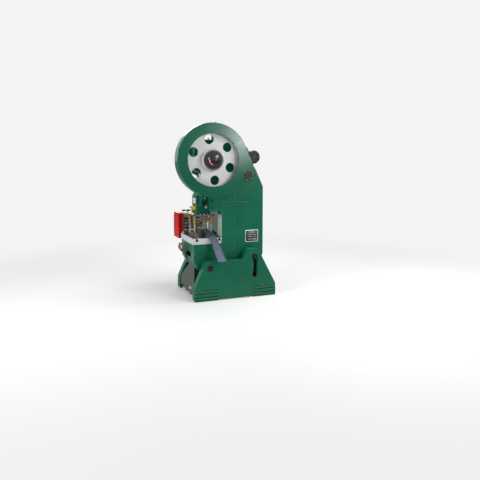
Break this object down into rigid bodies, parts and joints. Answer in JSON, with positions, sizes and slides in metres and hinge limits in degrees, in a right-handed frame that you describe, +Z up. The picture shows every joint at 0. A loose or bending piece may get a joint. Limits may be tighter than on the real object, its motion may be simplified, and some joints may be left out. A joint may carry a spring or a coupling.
{
  "type": "open-back inclinable geared power press",
  "caption": "Open-back inclinable power press: tilting C-frame on two legs, guarded open gear drive, crank-driven ram with die set, and a roll feeder.",
  "frame": {"origin": "on the floor, at the centre of the four anchor-bolt holes in the legs", "axes": "+Z up, -Y to the operator's side, +X to the gear's side; the strip runs along +X"},
  "size_m": [1.434, 1.573, 2.647],
  "materials": {
    "green_paint": "satin",
    "light_paint": "satin",
    "gray_paint": "satin",
    "machined_steel": "brushed",
    "die_steel": "ground",
    "cast_iron": "cast",
    "black_paint": "satin",
    "motor_paint": "satin",
    "bronze": "turned",
    "red_paint": "gloss",
    "khaki_paint": "satin",
    "yellow_paint": "satin",
    "sheet_steel": "rolled",
    "white_paint": "satin",
    "belt_rubber": "matt",
    "white_plastic": "gloss",
    "red_plastic": "gloss",
    "black_plastic": "gloss"
  },
  "bodies": {
    "base": {"leg_right": "green_paint", "leg_left": "green_paint", "tie_rods": "green_paint", "scrap_chute": "gray_paint", "pedal_shaft": "machined_steel"},
    "pedal": {"pedal": "machined_steel"},
    "frame": {"frame_body": "green_paint", "pivot_pins": "cast_iron", "clamp_bolts": "cast_iron", "bolster": "white_paint", "crank_cover": "green_paint", "bearing_bushes": "bronze", "gear_guard": "green_paint", "guard_cap": "cast_iron", "belt_guard": "green_paint", "motor_plate": "green_paint", "motor_housing": "motor_paint", "motor_fan_cover": "motor_paint", "terminal_box": "motor_paint", "drive_belts": "belt_rubber", "gib_left": "green_paint", "gib_right": "green_paint", "gib_screws": "machined_steel", "knockout_stops": "cast_iron", "brake_band": "cast_iron", "die_shoe": "die_steel", "die_block": "die_steel", "guide_posts": "machined_steel", "control_box": "gray_paint", "feeder_bracket": "green_paint", "feeder_housing": "khaki_paint", "feeder_cover": "red_paint", "exit_chute": "sheet_steel", "lifting_eyes": "black_paint"},
    "gear": {"main_gear": "light_paint", "gear_bush": "bronze", "clutch_cap": "cast_iron"},
    "drive": {"drive_shaft": "machined_steel", "pinion": "machined_steel", "flywheel": "green_paint"},
    "motor": {"motor_shaft": "machined_steel", "motor_pulley": "cast_iron"},
    "crank": {"crankshaft": "machined_steel", "brake_drum": "cast_iron"},
    "rod": {"connecting_rod": "cast_iron", "rod_cap": "cast_iron", "ball_screw": "machined_steel"},
    "ram": {"ram": "green_paint", "ball_seat": "bronze", "shank_clamp": "yellow_paint", "upper_shoe": "die_steel", "guide_bushes": "bronze", "stripper_plate": "cast_iron"},
    "knockout": {"knockout_bar": "machined_steel"},
    "upper_roll": {"upper_roll": "machined_steel"},
    "lower_roll": {"lower_roll": "machined_steel"},
    "feed_lever": {"feed_lever": "black_plastic"},
    "run_button": {"run_button": "white_plastic"},
    "stop_button": {"stop_button": "red_plastic"},
    "mode_knob": {"mode_knob": "black_plastic"}
  },
  "joints": [
    {"name": "frame_tilt", "type": "hinge", "parent": "base", "child": "frame", "pos_m": [0, -0.408, 0.492], "axis": [-1, 0, 0], "range_deg": [0, 23]},
    {"name": "pedal_press", "type": "hinge", "parent": "base", "child": "pedal", "pos_m": [0, -0.508, 0.06], "axis": [1, 0, 0], "range_deg": [0, 12], "stiffness_Nm_per_rad": 60, "springref_deg": -14.32},
    {"name": "gear_spin", "type": "hinge", "parent": "frame", "child": "gear", "pos_m": [0.556, -0.388, 2.101], "axis": [1, 0, 0], "continuous": true},
    {"name": "drive_spin", "type": "hinge", "parent": "frame", "child": "drive", "pos_m": [0, 0.14668, 1.87624], "axis": [1, 0, 0], "continuous": true},
    {"name": "motor_spin", "type": "hinge", "parent": "frame", "child": "motor", "pos_m": [-0.4, 0.45319, 2.14704], "axis": [1, 0, 0], "continuous": true},
    {"name": "crank_turn", "type": "hinge", "parent": "frame", "child": "crank", "pos_m": [0, -0.388, 2.101], "axis": [-1, 0, 0], "range_deg": [0, 180]},
    {"name": "rod_swing", "type": "hinge", "parent": "crank", "child": "rod", "pos_m": [0, -0.388, 2.146], "axis": [-1, 0, 0], "range_deg": [-180.01, 0]},
    {"name": "ram_stroke", "type": "slide", "parent": "frame", "child": "ram", "axis": [0, 0, -1], "range_m": [0, 0.09001]},
    {"name": "knockout_lift", "type": "slide", "parent": "ram", "child": "knockout", "axis": [0, 0, 1], "range_m": [0, 0.024]},
    {"name": "upper_roll_spin", "type": "hinge", "parent": "frame", "child": "upper_roll", "pos_m": [-0.56, -0.388, 1.103], "axis": [0, 1, 0], "continuous": true},
    {"name": "lower_roll_spin", "type": "hinge", "parent": "frame", "child": "lower_roll", "pos_m": [-0.56, -0.388, 1.001], "axis": [0, 1, 0], "continuous": true},
    {"name": "feed_lever_turn", "type": "hinge", "parent": "frame", "child": "feed_lever", "pos_m": [-0.648, -0.521, 1.258], "axis": [0, 1, 0], "range_deg": [-95, 0]},
    {"name": "run_press", "type": "slide", "parent": "frame", "child": "run_button", "axis": [0, 1, 0], "range_m": [0, 0.005], "stiffness_N_per_m": 800, "springref_m": -0.003},
    {"name": "stop_press", "type": "slide", "parent": "frame", "child": "stop_button", "axis": [0, 1, 0], "range_m": [0, 0.005], "stiffness_N_per_m": 800, "springref_m": -0.003},
    {"name": "mode_turn", "type": "hinge", "parent": "frame", "child": "mode_knob", "pos_m": [-0.1, -0.677, 0.686], "axis": [0, 1, 0], "range_deg": [-45, 45]}
  ],
  "couplings": [
    {"joint": "drive_spin", "follows": "gear_spin", "ratio": -5.4444},
    {"joint": "motor_spin", "follows": "gear_spin", "ratio": -28.46},
    {"joint": "rod_swing", "follows": "crank_turn", "ratio": -1},
    {"joint": "ram_stroke", "follows": "crank_turn", "m_per_rad": 0.028648},
    {"joint": "lower_roll_spin", "follows": "upper_roll_spin", "ratio": -1}
  ]
}
